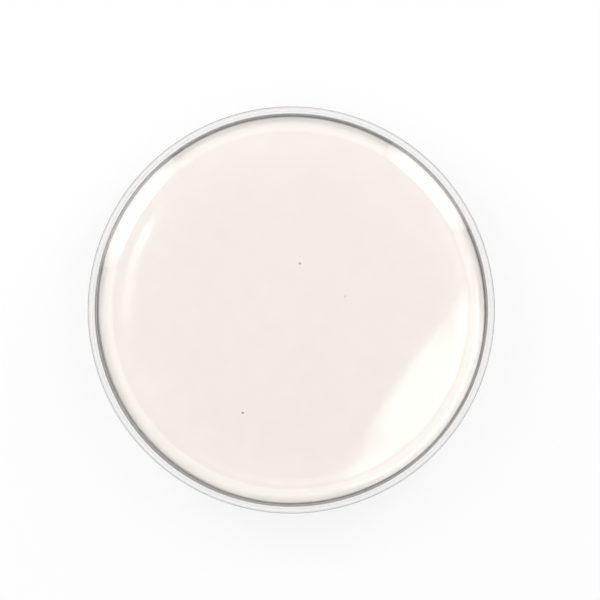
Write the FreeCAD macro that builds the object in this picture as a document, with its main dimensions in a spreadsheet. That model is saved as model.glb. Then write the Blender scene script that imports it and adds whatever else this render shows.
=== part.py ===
# Round wet palette: a clear moulded dish with a slip-over lid. Inside lie a soaked sponge and, on it,
# a sheet of palette paper whose edge is turned up against the wall. Each piece is turned about one axis.
# Millimetres. The origin is the centre of the foot ring where it stands on the table, and +Z is up.

import FreeCAD
import Part
import Sketcher
import os

doc = FreeCAD.newDocument("round_wet_palette")

# Driving dimensions
SIZES = (
    ("overall_height", 20.0, "from the table to the top of the closed lid"),
    ("lid_diameter", 100.0, "outside of the lid at the open edge of its skirt"),
    ("lid_height", 13.0, "from the open edge of the skirt to the top of the lid"),
    ("lid_wall", 0.9, "thickness of the skirt and of the shoulder"),
    ("lid_plate", 0.9, "thickness of the flat top"),
    ("lid_lean", 0.15, "draft: how far the skirt leans out from the shoulder to its open edge"),
    ("shoulder_radius", 7.0, "outside rounding from the flat top into the skirt"),
    ("slip_gap", 1.0, "clearance between the skirt and the rim of the dish"),
    ("seat_gap", 0.1, "clearance between the rim of the dish and the shoulder that lies on it"),
    ("dish_wall", 0.8, "thickness of the upright wall"),
    ("dish_floor", 1.2, "thickness of the floor"),
    ("dish_lean", 0.25, "draft: how far the wall leans out from the floor to the rim"),
    ("heel_bevel", 0.9, "bevel round the outside of the floor"),
    ("foot_height", 0.6, "how far the foot ring stands below the floor"),
    ("foot_width", 1.8, "width of the foot ring"),
    ("foot_inset", 5.0, "from the outside of the wall to the outside of the foot ring"),
    ("sponge_thickness", 11.5, "height of the soaked sponge"),
    ("sponge_gap", 0.3, "clearance between the sponge or the paper and the wall"),
    ("water_film", 0.1, "film of water that the paper floats on"),
    ("paper_thickness", 0.25, "thickness of the wet palette paper"),
    ("turn_up_width", 5.0, "outer band over which the paper is turned up towards the wall"),
    ("turn_up_rise", 1.2, "how high the edge of the paper is turned up"),
)

sheet = doc.addObject("Spreadsheet::Sheet", "Sizes")
for row, (alias, size, meaning) in enumerate(SIZES, start=1):
    sheet.set(f"A{row}", alias)
    sheet.set(f"B{row}", str(size))
    sheet.set(f"C{row}", meaning)
    sheet.setAlias(f"B{row}", alias)
doc.recompute()


# Radii that the pieces share, from the lid's skirt inwards, as expressions over the sheet
OPEN_EDGE_R = "Sizes.lid_diameter / 2"
OPEN_EDGE_BORE_R = f"({OPEN_EDGE_R} - Sizes.lid_wall)"
SHOULDER_R = f"({OPEN_EDGE_R} - Sizes.lid_lean)"
SKIRT_BORE_R = f"({SHOULDER_R} - Sizes.lid_wall)"
RIM_R = f"({SKIRT_BORE_R} - Sizes.slip_gap)"
RIM_BORE_R = f"({RIM_R} - Sizes.dish_wall)"
FLOOR_R = f"({RIM_R} - Sizes.dish_lean)"
FLOOR_BORE_R = f"({FLOOR_R} - Sizes.dish_wall)"
FOOT_R = f"({FLOOR_R} - Sizes.foot_inset)"
FOOT_BORE_R = f"({FOOT_R} - Sizes.foot_width)"
INSERT_R = f"({FLOOR_BORE_R} - Sizes.sponge_gap)"

# The inside of the lid: the skirt's bore leans by BORE_LEAN per unit of height and rolls into the flat
# underside with a rounding about SHOULDER_CENTRE_R. The rounding is level with the rim at LANDING_Z.
LID_UNDER_Z = "(Sizes.lid_height - Sizes.lid_plate)"
INNER_SHOULDER = "(Sizes.shoulder_radius - Sizes.lid_wall)"
BORE_LEAN = f"(Sizes.lid_lean / {LID_UNDER_Z})"
BORE_SLANT = f"sqrt(1 + {BORE_LEAN} ^ 2)"
SHOULDER_CENTRE_R = f"({SKIRT_BORE_R} + {INNER_SHOULDER} * ({BORE_LEAN} - {BORE_SLANT}))"
LANDING_RISE = f"sqrt({INNER_SHOULDER} ^ 2 - ({RIM_R} - {SHOULDER_CENTRE_R}) ^ 2)"
LANDING_Z = f"({LID_UNDER_Z} - {INNER_SHOULDER} + {LANDING_RISE})"

# Heights above the table; the dish is as high as the closed lid's shoulder lets its rim be
LID_STANDS_Z = "(Sizes.overall_height - Sizes.lid_height)"
RIM_Z = f"({LID_STANDS_Z} + {LANDING_Z} - Sizes.seat_gap)"
FLOOR_Z = "(Sizes.foot_height + Sizes.dish_floor)"
PAPER_STANDS_Z = f"({FLOOR_Z} + Sizes.sponge_thickness + Sizes.water_film)"

# The wall leans out, so the paper is cut larger than the sponge below it.
WALL_LEAN = f"(Sizes.dish_lean / ({RIM_Z} - {FLOOR_Z}))"
PAPER_R = f"({INSERT_R} + {WALL_LEAN} * ({PAPER_STANDS_Z} - {FLOOR_Z}))"
BAND_R = f"({PAPER_R} - Sizes.turn_up_width)"


def value(expression):
    """The present number of an expression over the sheet, or of ZERO."""
    return 0.0 if expression is ZERO else float(sheet.evalExpression(expression))


ZERO = None


def half_section(body, name, corners):
    """A closed sketch on the XZ plane through corners of (radius, height), each an expression or ZERO."""
    sketch = body.newObject("Sketcher::SketchObject", name)
    plane = next(f for f in body.Origin.OriginFeatures if f.Role == "XZ_Plane")
    sketch.AttachmentSupport = (plane, [""])
    sketch.MapMode = "FlatFace"

    points = [FreeCAD.Vector(value(radius), value(height), 0) for radius, height in corners]
    for point, following in zip(points, points[1:] + points[:1]):
        sketch.addGeometry(Part.LineSegment(point, following))

    # A sketch counts a line's start as point 1, its end as point 2, and its own axes as -1 and -2.
    line_start, line_end = 1, 2
    level_axis, upright_axis = -1, -2
    for number, (radius, height) in enumerate(corners):
        before = (number - 1) % len(corners)
        sketch.addConstraint(Sketcher.Constraint("Coincident", before, line_end, number, line_start))
        hold(sketch, (number, line_start), "DistanceX", upright_axis, radius)
        hold(sketch, (number, line_start), "DistanceY", level_axis, height)
    return sketch


def hold(sketch, corner, kind, axis, expression):
    """Holds a corner on an axis, or at a distance from the origin that follows the sheet."""
    if expression is ZERO:
        sketch.addConstraint(Sketcher.Constraint("PointOnObject", *corner, axis))
        return
    name = f"{kind}_{corner[0]}"
    constraint = sketch.addConstraint(Sketcher.Constraint(kind, *corner, value(expression)))
    sketch.renameConstraint(constraint, name)
    sketch.setExpression(f"Constraints.{name}", expression)


def turned_body(label, stands_at, corners):
    """A body whose half-section is turned once round the upright axis and stands at that height."""
    body = doc.addObject("PartDesign::Body", label)
    body.Label = label
    turn = body.newObject("PartDesign::Revolution", f"{label}_turn")
    turn.Profile = half_section(body, f"{label}_section", corners)
    turn.ReferenceAxis = (turn.Profile[0], ["V_Axis"])
    turn.Angle = 360
    if stands_at is not ZERO:
        body.setExpression("Placement.Base.z", stands_at)
    doc.recompute()
    return body


def round_edge(body, name, size, place):
    """Rounds the circular edge at that (radius, height) place of the body's last feature."""
    dress_edge(body, "PartDesign::Fillet", name, "Radius", size, place)


def bevel_edge(body, name, size, place):
    """Bevels the circular edge at that (radius, height) place of the body's last feature."""
    dress_edge(body, "PartDesign::Chamfer", name, "Size", size, place)


def dress_edge(body, kind, name, driven, size, place):
    """Adds an edge feature of that kind to the body, with its size bound to the sheet."""
    before = body.Tip
    radius, height = place
    edge = circle_at(before.Shape, value(radius), value(height))
    feature = body.newObject(kind, name)
    feature.Base = (before, [edge])
    feature.setExpression(driven, size)
    doc.recompute()


def circle_at(shape, radius, height):
    """The name of the circular edge of that radius round the axis at that height."""
    near = 1e-4
    for number, edge in enumerate(shape.Edges, start=1):
        curve = edge.Curve
        if isinstance(curve, Part.Circle):
            if abs(curve.Radius - radius) < near and abs(curve.Center.z - height) < near:
                return f"Edge{number}"
    raise ValueError(f"no circular edge of radius {radius} at height {height}")


# Base dish: injection moulded in clear plastic, with a foot ring under the floor and a flat rim for the lid
base_dish = turned_body(
    "base_dish",
    ZERO,
    [
        (ZERO, FLOOR_Z),
        (FLOOR_BORE_R, FLOOR_Z),
        (RIM_BORE_R, RIM_Z),
        (RIM_R, RIM_Z),
        (FLOOR_R, "Sizes.foot_height"),
        (FOOT_R, "Sizes.foot_height"),
        (FOOT_R, ZERO),
        (FOOT_BORE_R, ZERO),
        (FOOT_BORE_R, "Sizes.foot_height"),
        (ZERO, "Sizes.foot_height"),
    ],
)
bevel_edge(base_dish, "heel", "Sizes.heel_bevel", (FLOOR_R, "Sizes.foot_height"))

# Sponge: a soft disc cut to the dish, lying soaked on its floor
sponge = turned_body(
    "sponge",
    FLOOR_Z,
    [
        (ZERO, ZERO),
        (INSERT_R, ZERO),
        (INSERT_R, "Sizes.sponge_thickness"),
        (ZERO, "Sizes.sponge_thickness"),
    ],
)

# Palette paper: one sheet that lies on the sponge's film of water and is turned up along its edge
palette_paper = turned_body(
    "palette_paper",
    PAPER_STANDS_Z,
    [
        (ZERO, ZERO),
        (BAND_R, ZERO),
        (PAPER_R, "Sizes.turn_up_rise"),
        (PAPER_R, "Sizes.turn_up_rise + Sizes.paper_thickness"),
        (BAND_R, "Sizes.paper_thickness"),
        (ZERO, "Sizes.paper_thickness"),
    ],
)

# Lid: a clear moulding of even wall, whose flat top rolls over a broad shoulder into the skirt. The inside
# of the shoulder lies on the rim of the dish.
lid = turned_body(
    "lid",
    LID_STANDS_Z,
    [
        (ZERO, "Sizes.lid_height"),
        (SHOULDER_R, "Sizes.lid_height"),
        (OPEN_EDGE_R, ZERO),
        (OPEN_EDGE_BORE_R, ZERO),
        (SKIRT_BORE_R, LID_UNDER_Z),
        (ZERO, LID_UNDER_Z),
    ],
)
round_edge(lid, "shoulder", "Sizes.shoulder_radius", (SHOULDER_R, "Sizes.lid_height"))
round_edge(lid, "inner_shoulder", INNER_SHOULDER, (SKIRT_BORE_R, LID_UNDER_Z))

# Every object has to be sound before anything is written
doc.recompute()
for item in doc.Objects:
    if "Invalid" in item.State or "Error" in item.State:
        raise RuntimeError(f"{item.Label} failed: {item.State}")

os.makedirs("parts", exist_ok=True)
for body in (base_dish, sponge, palette_paper, lid):
    shape = body.Shape
    if shape.isNull() or not shape.isValid() or len(shape.Solids) != 1:
        raise RuntimeError(f"{body.Label} is not one valid solid")
    shape.exportStep(f"parts/{body.Label}.step")
    box = shape.optimalBoundingBox()
    reach = f"z {box.ZMin:.2f} to {box.ZMax:.2f}, {box.XLength:.2f} across"
    print(f"{body.Label}: {shape.Volume / 1000:.2f} cm3, {reach}")
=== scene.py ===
import math

import bmesh
import bpy
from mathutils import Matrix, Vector, noise


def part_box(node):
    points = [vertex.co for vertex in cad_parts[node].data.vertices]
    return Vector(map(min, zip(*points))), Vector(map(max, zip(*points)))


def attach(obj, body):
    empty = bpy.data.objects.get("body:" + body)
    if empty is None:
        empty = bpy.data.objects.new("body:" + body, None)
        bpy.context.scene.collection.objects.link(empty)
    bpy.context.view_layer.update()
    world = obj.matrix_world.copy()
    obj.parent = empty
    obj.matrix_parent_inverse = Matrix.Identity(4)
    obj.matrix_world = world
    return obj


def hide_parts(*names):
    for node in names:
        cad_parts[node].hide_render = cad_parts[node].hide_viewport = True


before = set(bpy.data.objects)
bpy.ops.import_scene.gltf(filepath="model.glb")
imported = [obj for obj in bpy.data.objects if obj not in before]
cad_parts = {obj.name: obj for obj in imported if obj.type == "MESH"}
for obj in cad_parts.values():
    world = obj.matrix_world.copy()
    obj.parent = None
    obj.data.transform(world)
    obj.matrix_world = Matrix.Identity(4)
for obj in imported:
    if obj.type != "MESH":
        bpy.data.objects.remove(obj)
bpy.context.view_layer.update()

# Base dish: injection-moulded clear polystyrene, one thin drafted wall round a flat floor.
# It stands on the foot ring under the floor. Its flat rim carries the lid, and a small lead-in
# outside the rim guides the lid on.
MM = 0.001
DISH_WALL = 0.8 * MM
DISH_LEAN = 0.25 * MM
DISH_FLOOR = 1.2 * MM
FLOOR_CORNER_ROUNDING = 0.5 * MM
HEEL_ROUNDING = 1.3 * MM
FOOT_HEIGHT = 0.6 * MM
FOOT_WIDTH = 1.8 * MM
FOOT_INSET = 5.0 * MM
FOOT_ROUNDING = 0.25 * MM
RIM_LEAD_IN_WIDTH = 0.37 * MM
RIM_LEAD_IN_HEIGHT = 0.8 * MM
RIM_INNER_ROUNDING = 0.1 * MM
RIM_OUTER_ROUNDING = 0.06 * MM
TURN_STEPS = 288
ARC_STEP = math.radians(4)
ARC_LEAST_SEGMENTS = 3
SMOOTH_BELOW = math.radians(35)
SAME_PLACE = 1e-7
PLASTIC_COLOUR = (0.996, 0.996, 0.994, 1)
PLASTIC_IOR = 1.59
SMOKE_COLOUR = (0.6, 0.49, 0.42, 1)
DISH_SMOKE = 70.0
DISH_SCUFFS = 0.03


def select_point(piece, place):
    """Selects, in edit mode, only the vertex at that place."""
    mesh = bmesh.from_edit_mesh(piece.data)
    for vertex in mesh.verts:
        vertex.select = (vertex.co - place).length < SAME_PLACE
    mesh.select_flush_mode()
    bmesh.update_edit_mesh(piece.data)


def round_corner(piece, before, corner, after, radius):
    """Rounds one corner of the drawn half-section, between its two straight runs."""
    turn = (corner - before).angle(after - corner)
    select_point(piece, corner)
    bpy.ops.mesh.bevel(
        affect="VERTICES",
        offset_type="ABSOLUTE",
        offset=radius * math.tan(turn / 2),
        segments=max(ARC_LEAST_SEGMENTS, math.ceil(turn / ARC_STEP)),
    )


def draw_line(name, points):
    """Starts a piece as a line through the points, and leaves it in edit mode."""
    bpy.ops.object.select_all(action="DESELECT")
    bpy.ops.mesh.primitive_plane_add(size=MM)
    piece = bpy.context.object
    piece.name = piece.data.name = name
    bpy.ops.object.mode_set(mode="EDIT")
    bpy.ops.mesh.merge(type="CENTER")
    bpy.ops.transform.translate(value=points[0])
    for point, following in zip(points, points[1:]):
        bpy.ops.mesh.extrude_vertices_move(TRANSFORM_OT_translate={"value": following - point})
    return piece


def turn_about_axis(piece, steps):
    """Turns the drawn line once about Z, closes its seam and poles, and points its faces outwards."""
    turn = piece.modifiers.new("turn", "SCREW")
    turn.axis = "Z"
    turn.angle = 2 * math.pi
    turn.steps = turn.render_steps = steps
    bpy.ops.object.modifier_apply(modifier=turn.name)
    bpy.ops.object.mode_set(mode="EDIT")
    bpy.ops.mesh.select_all(action="SELECT")
    bpy.ops.mesh.remove_doubles(threshold=SAME_PLACE)
    bpy.ops.mesh.normals_make_consistent(inside=False)
    bpy.ops.object.mode_set(mode="OBJECT")


def turned_moulding(name, half_section):
    """A closed moulding turned about Z from corners of (radius, height, rounding), axis to axis."""
    corners = [Vector((radius, 0, height)) for radius, height, _ in half_section]
    piece = draw_line(name, corners)
    for number, (_, _, rounding) in enumerate(half_section):
        if rounding:
            round_corner(piece, *corners[number - 1:number + 2], rounding)
    bpy.ops.object.mode_set(mode="OBJECT")
    turn_about_axis(piece, TURN_STEPS)
    bpy.ops.object.shade_smooth_by_angle(angle=SMOOTH_BELOW)
    return piece


def add_node(owner, kind, inputs=None, **settings):
    """Adds a node to a material or world, with its settings and with numbers or links on its inputs."""
    node = owner.node_tree.nodes.new(kind)
    for setting, choice in settings.items():
        setattr(node, setting, choice)
    for socket, source in (inputs or {}).items():
        if isinstance(source, bpy.types.NodeSocket):
            owner.node_tree.links.new(source, node.inputs[socket])
        else:
            node.inputs[socket].default_value = source
    return node


def finish_with(piece, name, sockets):
    """Gives a piece a new material and sets plain sockets on its shader; returns both."""
    material = bpy.data.materials.new(name)
    material.use_nodes = True
    piece.data.materials.append(material)
    shader = material.node_tree.nodes["Principled BSDF"]
    for socket, number in sockets.items():
        shader.inputs[socket].default_value = number
    return material, shader


def emboss(material, shader, height, strength, distance):
    """Lets a texture raise and lower the surface a little."""
    bump = add_node(material, "ShaderNodeBump", {
        "Height": height,
        "Strength": strength,
        "Distance": distance,
    })
    material.node_tree.links.new(bump.outputs["Normal"], shader.inputs["Normal"])


def clear_polystyrene(piece, name, scuffs, smoke):
    """Polished clear plastic, faintly smoky in depth, with flow waves from the mould and scuffs."""
    material, shader = finish_with(piece, name, {
        "Base Color": PLASTIC_COLOUR,
        "Transmission Weight": 1.0,
        "IOR": PLASTIC_IOR,
    })
    place = add_node(material, "ShaderNodeTexCoord").outputs["Object"]
    flow = add_node(material, "ShaderNodeTexNoise", {"Vector": place, "Scale": 45.0, "Detail": 1.0})
    wear = add_node(material, "ShaderNodeTexNoise", {"Vector": place, "Scale": 900.0, "Detail": 4.0})
    dull = add_node(material, "ShaderNodeMapRange", {
        "Value": wear.outputs["Fac"],
        "From Min": 0.55,
        "From Max": 0.8,
        "To Min": 0.0,
        "To Max": scuffs,
    })
    depth = add_node(material, "ShaderNodeVolumeAbsorption", {
        "Color": SMOKE_COLOUR,
        "Density": smoke,
    })
    output = material.node_tree.nodes["Material Output"]
    material.node_tree.links.new(depth.outputs["Volume"], output.inputs["Volume"])
    material.node_tree.links.new(dull.outputs["Result"], shader.inputs["Roughness"])
    emboss(material, shader, flow.outputs["Fac"], strength=0.1, distance=0.02 * MM)


_, dish_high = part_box("base_dish")
rim_radius = dish_high.x
rim_height = dish_high.z
floor_radius = rim_radius - DISH_LEAN
foot_radius = floor_radius - FOOT_INSET
floor_height = FOOT_HEIGHT + DISH_FLOOR

dish = turned_moulding("clear_dish", [
    (0, floor_height, 0),
    (floor_radius - DISH_WALL, floor_height, FLOOR_CORNER_ROUNDING),
    (rim_radius - DISH_WALL, rim_height, RIM_INNER_ROUNDING),
    (rim_radius - RIM_LEAD_IN_WIDTH, rim_height, RIM_OUTER_ROUNDING),
    (rim_radius, rim_height - RIM_LEAD_IN_HEIGHT, RIM_OUTER_ROUNDING),
    (floor_radius, FOOT_HEIGHT, HEEL_ROUNDING),
    (foot_radius, FOOT_HEIGHT, FOOT_ROUNDING),
    (foot_radius, 0, FOOT_ROUNDING),
    (foot_radius - FOOT_WIDTH, 0, FOOT_ROUNDING),
    (foot_radius - FOOT_WIDTH, FOOT_HEIGHT, FOOT_ROUNDING),
    (0, FOOT_HEIGHT, 0),
])
clear_polystyrene(dish, "dish_polystyrene", scuffs=DISH_SCUFFS, smoke=DISH_SMOKE)
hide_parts("base_dish")
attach(dish, "dish")

# Sponge: a disc of cellulose sponge cut to the dish, soaked, lying loose on the floor.
# Its pores are open bubbles of two sizes, large ones among many small ones.
SPONGE_SIDES = 128
SPONGE_ROUNDING = 0.7 * MM
SPONGE_ROUNDING_SEGMENTS = 3
SPONGE_VOXEL = 0.5 * MM
SPONGE_REST_GAP = 0.05 * MM
PORE_SPACINGS_AND_DEPTHS = ((5.5 * MM, 1.5 * MM), (2.6 * MM, 0.8 * MM))
PORE_REACH = 0.55
MOTTLE_RANGE = (0.3, 0.7)
SPONGE_DARK = (0.6, 0.47, 0.28, 1)
SPONGE_LIGHT = (0.78, 0.66, 0.46, 1)
WATER_IOR = 1.33

sponge_low, sponge_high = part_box("sponge")
sponge_height = sponge_high.z - sponge_low.z - SPONGE_REST_GAP

bpy.ops.object.select_all(action="DESELECT")
bpy.ops.mesh.primitive_cylinder_add(
    vertices=SPONGE_SIDES,
    radius=sponge_high.x,
    depth=sponge_height,
    location=(0, 0, sponge_high.z - sponge_height / 2),
)
sponge = bpy.context.object
sponge.name = sponge.data.name = "soaked_sponge"
bpy.ops.object.transform_apply(location=True)
bpy.ops.object.mode_set(mode="EDIT")
bpy.ops.mesh.bevel(affect="EDGES", offset=SPONGE_ROUNDING, segments=SPONGE_ROUNDING_SEGMENTS)
bpy.ops.object.mode_set(mode="OBJECT")
remesh = sponge.modifiers.new("voxels", "REMESH")
remesh.mode = "VOXEL"
remesh.voxel_size = SPONGE_VOXEL
bpy.ops.object.modifier_apply(modifier=remesh.name)


def pore_depth(place):
    """How deep the surface sinks at a place: bubbles round scattered centres, of each pore size."""
    depth = 0.0
    for spacing, deepest in PORE_SPACINGS_AND_DEPTHS:
        nearest = noise.voronoi(place / spacing)[0][0]
        bubble = max(0.0, 1 - (nearest / PORE_REACH) ** 2)
        depth = max(depth, deepest * math.sqrt(bubble))
    return depth


def mottled(material, place, scale, detail, dark, light):
    """A colour that wanders softly between a dark and a light tone."""
    patches = add_node(material, "ShaderNodeTexNoise", {
        "Vector": place,
        "Scale": scale,
        "Detail": detail,
    })
    tone = add_node(material, "ShaderNodeValToRGB", {"Fac": patches.outputs["Fac"]})
    for stop, position, colour in zip(tone.color_ramp.elements, MOTTLE_RANGE, (dark, light)):
        stop.position = position
        stop.color = colour
    return tone.outputs["Color"]


sunk = [vertex.co - vertex.normal * pore_depth(vertex.co) for vertex in sponge.data.vertices]
for vertex, place in zip(sponge.data.vertices, sunk):
    vertex.co = place
bpy.ops.object.shade_smooth()

material, shader = finish_with(sponge, "wet_cellulose", {
    "Roughness": 0.42,
    "Coat Weight": 0.5,
    "Coat Roughness": 0.2,
    "Coat IOR": WATER_IOR,
})
place = add_node(material, "ShaderNodeTexCoord").outputs["Object"]
colour = mottled(material, place, scale=160.0, detail=5.0, dark=SPONGE_DARK, light=SPONGE_LIGHT)
material.node_tree.links.new(colour, shader.inputs["Base Color"])
pits = add_node(material, "ShaderNodeTexVoronoi", {"Vector": place, "Scale": 1400.0})
emboss(material, shader, pits.outputs["Distance"], strength=0.6, distance=0.3 * MM)
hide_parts("sponge")
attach(sponge, "sponge")

# Palette paper: one round sheet of cream parchment-like paper, wet through, lying on the sponge.
# It was cut a little large, so its edge is turned up along the wall. At the lower right it curls,
# at the lower left its edge stays low, and a ripple runs along the left side.
PAPER_OVERSIZE = 0.24 * MM
PAPER_THICKNESS = 0.2 * MM
PAPER_LIFT = 0.03 * MM
PAPER_RINGS = 160
PAPER_STEPS = 192
CURL_AZIMUTH = math.radians(327)
CURL_STARTS = 31.0 * MM
CURL_ENDS = 43.0 * MM
CURL_SLOPE = 0.21
CURL_SOFTNESS = 1.6 * MM
CURL_HALF_WIDTH = 21.0 * MM
CURL_BEND = 1.5 * MM
CURL_BEND_SPAN = (10 * MM, 24 * MM)
TURN_UP_HEIGHT = 0.4 * MM
TURN_UP_SPAN = (41 * MM, 44 * MM)
TURN_UP_LEAST_SHARE = 0.2
TURN_UP_FADE_ANGLES = (math.radians(60), math.radians(105))
WALL_RISE = 1.0 * MM
WALL_RISE_STARTS = 45.2 * MM
LOW_EDGE_AZIMUTH = math.radians(218)
LOW_EDGE_HALF_ANGLES = (math.radians(18), math.radians(46))
LOW_EDGE_LOSS = 0.75
RIPPLE_AZIMUTH = math.radians(166)
RIPPLE_HALF_ANGLES = (math.radians(12), math.radians(28))
RIPPLE_HEIGHT = 0.45 * MM
RIPPLE_CLIMB = (30 * MM, 38.5 * MM)
RIPPLE_FALL = (38.7 * MM, 42.2 * MM)
PAPER_DARK = (0.962, 0.9, 0.853, 1)
PAPER_LIGHT = (0.98, 0.923, 0.879, 1)
# Painted light: past this radius the paper's colour is painted lighter towards its edge, to make up for
# the shade that the wall and the lid's shoulder cast there.
EDGE_PAINTED_LIGHT_COLOUR = (0.985, 0.94, 0.9, 1)
EDGE_PAINTED_LIGHT_STARTS = 44.0 * MM
# Each speck: across, up, size and darkness.
PAPER_SPECKS = (
    (2.1 * MM, 11.4 * MM, 0.8 * MM, 0.8),
    (-11.9 * MM, -25.2 * MM, 0.7 * MM, 1.0),
    (13.2 * MM, 3.3 * MM, 0.7 * MM, 0.4),
)
SPECK_COLOUR = (0.3, 0.26, 0.24, 1)

paper_low, paper_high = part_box("palette_paper")
paper_radius = paper_high.x + PAPER_OVERSIZE

paper = draw_line("palette_paper_sheet", [Vector((0, 0, 0)), Vector((paper_radius, 0, 0))])
bpy.ops.mesh.select_all(action="SELECT")
bpy.ops.mesh.subdivide(number_cuts=PAPER_RINGS - 1)
bpy.ops.object.mode_set(mode="OBJECT")
turn_about_axis(paper, PAPER_STEPS)


def eased(value, low, high):
    """0 below low, 1 above high, and a smooth step between."""
    share = min(1.0, max(0.0, (value - low) / (high - low)))
    return share * share * (3 - 2 * share)


def ramp_up(distance, softness):
    """A height that starts flat and then climbs by one unit per unit, softly."""
    return softness * math.log1p(math.exp(distance / softness))


def angle_between(azimuth, other):
    """The smaller angle between two azimuths."""
    return abs((azimuth - other + math.pi) % (2 * math.pi) - math.pi)


def curl_height(radius, azimuth):
    """The curl at the lower right: a soft crease across the sheet, beyond which it climbs."""
    along = radius * math.cos(azimuth - CURL_AZIMUTH)
    across = abs(radius * math.sin(azimuth - CURL_AZIMUTH))
    starts = CURL_STARTS + CURL_BEND * eased(across, *CURL_BEND_SPAN)
    share = 1 - eased(across, CURL_HALF_WIDTH, 2 * CURL_HALF_WIDTH)
    return CURL_SLOPE * ramp_up(along - starts, CURL_SOFTNESS) * share


def edge_height(radius, azimuth):
    """The turned-up edge, highest by the curl, and its last rise up the wall, lowest at lower left."""
    far_from_curl = eased(angle_between(azimuth, CURL_AZIMUTH), *TURN_UP_FADE_ANGLES)
    turn_up_share = 1 - (1 - TURN_UP_LEAST_SHARE) * far_from_curl
    turn_up = TURN_UP_HEIGHT * eased(radius, *TURN_UP_SPAN) * turn_up_share
    low_edge = 1 - eased(angle_between(azimuth, LOW_EDGE_AZIMUTH), *LOW_EDGE_HALF_ANGLES)
    against_wall = max(0.0, (radius - WALL_RISE_STARTS) / (paper_radius - WALL_RISE_STARTS))
    return turn_up + WALL_RISE * against_wall ** 2 * (1 - LOW_EDGE_LOSS * low_edge)


def ripple_height(radius, azimuth):
    """The low ripple along the left side, inside the edge."""
    share = 1 - eased(angle_between(azimuth, RIPPLE_AZIMUTH), *RIPPLE_HALF_ANGLES)
    return RIPPLE_HEIGHT * (eased(radius, *RIPPLE_CLIMB) - eased(radius, *RIPPLE_FALL)) * share


def paper_height(radius, azimuth):
    """Height of the sheet over its flat middle."""
    curl = curl_height(min(radius, CURL_ENDS), azimuth)
    return curl + edge_height(radius, azimuth) + ripple_height(radius, azimuth)


def blended(material, share, first, second):
    """A colour between two others, by the share of the second."""
    mix = add_node(material, "ShaderNodeMix", data_type="RGBA")
    factor, colours, result = mix.inputs[0], mix.inputs[6:8], mix.outputs[2]
    material.node_tree.links.new(share, factor)
    material.node_tree.links.new(first, colours[0])
    colours[1].default_value = second
    return result


for vertex in paper.data.vertices:
    height = paper_height(vertex.co.length, math.atan2(vertex.co.y, vertex.co.x))
    vertex.co.z = paper_low.z + PAPER_LIFT + PAPER_THICKNESS + height
bpy.ops.object.shade_smooth()
thickness = paper.modifiers.new("thickness", "SOLIDIFY")
thickness.thickness = PAPER_THICKNESS
thickness.offset = -1
bpy.ops.object.modifier_apply(modifier=thickness.name)

material, shader = finish_with(paper, "damp_cream_paper", {
    "Roughness": 0.6,
    "Specular IOR Level": 0.0,
    "Coat Weight": 1.0,
    "Coat Roughness": 0.12,
    "Coat IOR": 1.8,
})
place = add_node(material, "ShaderNodeTexCoord").outputs["Object"]
out_from_middle = add_node(material, "ShaderNodeVectorMath", {
    0: place,
    1: (1, 1, 0),
}, operation="MULTIPLY").outputs["Vector"]
radius = add_node(material, "ShaderNodeVectorMath", {0: out_from_middle}, operation="LENGTH")
# Painted light: the share of the lighter edge colour grows towards the paper's edge, cancelling the
# shade that falls there.
painted_edge_light = add_node(material, "ShaderNodeMapRange", {
    "Value": radius.outputs["Value"],
    "From Min": EDGE_PAINTED_LIGHT_STARTS,
    "From Max": paper_radius,
})
damp_tone = mottled(material, place, scale=320.0, detail=6.0, dark=PAPER_DARK, light=PAPER_LIGHT)
colour = blended(material, painted_edge_light.outputs["Result"], damp_tone, EDGE_PAINTED_LIGHT_COLOUR)
for across, up, size, darkness in PAPER_SPECKS:
    spot = add_node(material, "ShaderNodeVectorMath", {
        0: out_from_middle,
        1: (across, up, 0),
    }, operation="DISTANCE")
    inside = add_node(material, "ShaderNodeMapRange", {
        "Value": spot.outputs["Value"],
        "From Min": size / 2,
        "From Max": size / 4,
        "To Max": darkness,
    })
    colour = blended(material, inside.outputs["Result"], colour, SPECK_COLOUR)
material.node_tree.links.new(colour, shader.inputs["Base Color"])
fibres = add_node(material, "ShaderNodeTexNoise", {"Vector": place, "Scale": 1800.0, "Detail": 3.0})
emboss(material, shader, fibres.outputs["Fac"], strength=0.15, distance=0.03 * MM)
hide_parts("palette_paper")
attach(paper, "paper")

# Lid: a second clear moulding, slipped over the dish, whose flat top rolls over a broad shoulder
# into a short skirt. The inside of the shoulder lands on the rim, and nothing else holds it.
LID_WALL = 0.9 * MM
LID_PLATE = 0.9 * MM
LID_LEAN = 0.15 * MM
SHOULDER_ROUNDING = 7.0 * MM
LIP_ROUNDING = 0.35 * MM
LID_SMOKE = 55.0
LID_SCUFFS = 0.02

lid_low, lid_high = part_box("lid")
open_edge_radius = lid_high.x
shoulder_radius = open_edge_radius - LID_LEAN

lid = turned_moulding("clear_lid", [
    (0, lid_high.z, 0),
    (shoulder_radius, lid_high.z, SHOULDER_ROUNDING),
    (open_edge_radius, lid_low.z, LIP_ROUNDING),
    (open_edge_radius - LID_WALL, lid_low.z, LIP_ROUNDING),
    (shoulder_radius - LID_WALL, lid_high.z - LID_PLATE, SHOULDER_ROUNDING - LID_WALL),
    (0, lid_high.z - LID_PLATE, 0),
])
clear_polystyrene(lid, "lid_polystyrene", scuffs=LID_SCUFFS, smoke=LID_SMOKE)
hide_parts("lid")
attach(lid, "lid")

# Studio: a white table in a white room, two tall soft boxes behind it, and a bright ring overhead.
# The room is white where it is seen, mirrored or looked at through clear plastic, and lights bare
# surfaces only weakly. The ring leaves a gap round the camera, which looks straight down.
WHITE = (1, 1, 1, 1)
BLACK = (0, 0, 0, 1)
TABLE_SIZE = 4.0
TABLE_DROP = 0.02 * MM
TABLE_GREY = (0.86, 0.86, 0.86, 1)
TABLE_WHITE_SHARE = 0.86
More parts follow.
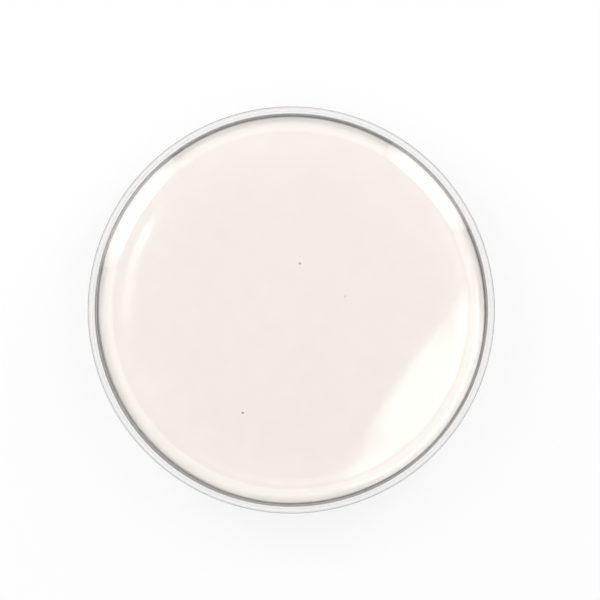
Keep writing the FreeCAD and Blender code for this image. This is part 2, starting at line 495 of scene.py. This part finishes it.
# Each soft box: its name, its azimuth and the angle that its width takes up.
SOFT_BOXES = (
    ("right", math.radians(42), math.radians(34.5)),
    ("left", math.radians(147.5), math.radians(39)),
)
BOX_DISTANCE = 0.5
BOX_TOP = 3.0
BOX_FOOT = 0.02
BOX_OVAL_HEIGHT = 2.4
BOX_OVAL_WIDTH_SHARE = 1.06
BOX_FADE = (0.6, 1.12)
BOX_STRENGTH = 4.0
ROOM_LIGHT = 0.05
ROOM_WHITE = 1.0
CEILING_LIGHT = 0.88
CEILING_STARTS = (math.radians(22), math.radians(50))
CEILING_ENDS = (math.radians(68), math.radians(82))


def seen_directly(owner):
    """1 for what is seen straight, mirrored or through clear plastic, and 0 for what only lights."""
    path = add_node(owner, "ShaderNodeLightPath").outputs
    straight = add_node(owner, "ShaderNodeMath", {
        0: path["Is Camera Ray"],
        1: path["Is Glossy Ray"],
    }, operation="MAXIMUM")
    seen = add_node(owner, "ShaderNodeMath", {
        0: straight.outputs["Value"],
        1: path["Is Transmission Ray"],
    }, operation="MAXIMUM")
    return seen.outputs["Value"]


bpy.ops.mesh.primitive_plane_add(size=TABLE_SIZE, location=(0, 0, -TABLE_DROP))
table = bpy.context.object
table.name = table.data.name = "table"
material, shader = finish_with(table, "white_table", {
    "Base Color": TABLE_GREY,
    "Roughness": 0.9,
})
share = add_node(material, "ShaderNodeMath", {
    0: seen_directly(material),
    1: TABLE_WHITE_SHARE,
}, operation="MULTIPLY")
white = add_node(material, "ShaderNodeEmission", {"Color": WHITE, "Strength": ROOM_WHITE})
blend = add_node(material, "ShaderNodeMixShader", {
    0: share.outputs["Value"],
    1: shader.outputs["BSDF"],
    2: white.outputs["Emission"],
})
output = material.node_tree.nodes["Material Output"]
material.node_tree.links.new(blend.outputs["Shader"], output.inputs["Surface"])

for side, azimuth, width_angle in SOFT_BOXES:
    half_width = BOX_DISTANCE * math.tan(width_angle / 2)
    outwards = Vector((math.cos(azimuth), math.sin(azimuth), 0))
    bpy.ops.object.select_all(action="DESELECT")
    bpy.ops.mesh.primitive_plane_add(size=1)
    box = bpy.context.object
    box.name = box.data.name = f"soft_box_{side}"
    box.scale = (2 * half_width, BOX_TOP - BOX_FOOT, 1)
    box.rotation_euler = (-outwards).to_track_quat("Z", "Y").to_euler()
    box.location = BOX_DISTANCE * outwards + Vector((0, 0, (BOX_TOP + BOX_FOOT) / 2))
    bpy.ops.object.transform_apply(location=True, rotation=True, scale=True)
    box.visible_camera = False
    material, shader = finish_with(box, f"soft_box_cloth_{side}", {
        "Base Color": BLACK,
        "Specular IOR Level": 0.0,
        "Emission Color": WHITE,
    })
    place = add_node(material, "ShaderNodeTexCoord").outputs["Object"]
    oval = add_node(material, "ShaderNodeMapping", {
        "Vector": place,
        "Location": BOX_DISTANCE * outwards,
        "Rotation": (0, 0, azimuth + math.pi / 2),
        "Scale": (BOX_OVAL_WIDTH_SHARE * half_width, 1, BOX_OVAL_HEIGHT),
    }, vector_type="TEXTURE").outputs["Vector"]
    reach = add_node(material, "ShaderNodeVectorMath", {0: oval}, operation="LENGTH")
    glow = add_node(material, "ShaderNodeMapRange", {
        "Value": reach.outputs["Value"],
        "From Min": BOX_FADE[0],
        "From Max": BOX_FADE[1],
        "To Min": BOX_STRENGTH,
        "To Max": ROOM_WHITE,
    })
    material.node_tree.links.new(glow.outputs["Result"], shader.inputs["Emission Strength"])

world = bpy.data.worlds.new("studio")
world.use_nodes = True
bpy.context.scene.world = world
background = world.node_tree.nodes["Background"]
background.inputs["Color"].default_value = WHITE
room = add_node(world, "ShaderNodeMapRange", {
    "Value": seen_directly(world),
    "To Min": ROOM_LIGHT,
    "To Max": ROOM_WHITE,
})
direction = add_node(world, "ShaderNodeTexCoord").outputs["Generated"]
height = add_node(world, "ShaderNodeSeparateXYZ", {0: direction}).outputs["Z"]
lower_edge = add_node(world, "ShaderNodeMapRange", {
    "Value": height,
    "From Min": math.sin(CEILING_STARTS[0]),
    "From Max": math.sin(CEILING_STARTS[1]),
}, interpolation_type="SMOOTHSTEP")
upper_edge = add_node(world, "ShaderNodeMapRange", {
    "Value": height,
    "From Min": math.sin(CEILING_ENDS[0]),
    "From Max": math.sin(CEILING_ENDS[1]),
    "To Min": CEILING_LIGHT,
    "To Max": 0.0,
}, interpolation_type="SMOOTHSTEP")
total = add_node(world, "ShaderNodeMath", {
    0: lower_edge.outputs["Result"],
    1: upper_edge.outputs["Result"],
    2: room.outputs["Result"],
}, operation="MULTIPLY_ADD")
world.node_tree.links.new(total.outputs["Value"], background.inputs["Strength"])

# Camera: straight above, far off and long-lensed. The frame's scale holds at the lid's open edge,
# and the object stands a few pixels to the left of and below the middle of the frame.
FRAME_PIXELS = 600
LID_DIAMETER = 100 * MM
LID_DIAMETER_PIXELS = 407
PIXEL = LID_DIAMETER / LID_DIAMETER_PIXELS
PIXELS_LEFT = 8.7
PIXELS_BELOW = 10.0
OPEN_EDGE_HEIGHT = 7 * MM
CAMERA_DISTANCE = 3.0
SENSOR_WIDTH = 36.0

camera = bpy.data.objects.new("camera", bpy.data.cameras.new("camera"))
bpy.context.collection.objects.link(camera)
bpy.context.scene.camera = camera
camera.location = (PIXELS_LEFT * PIXEL, PIXELS_BELOW * PIXEL, OPEN_EDGE_HEIGHT + CAMERA_DISTANCE)
camera.data.sensor_width = SENSOR_WIDTH
camera.data.lens = SENSOR_WIDTH * CAMERA_DISTANCE / (FRAME_PIXELS * PIXEL)

bpy.context.scene.view_settings.view_transform = "Standard"
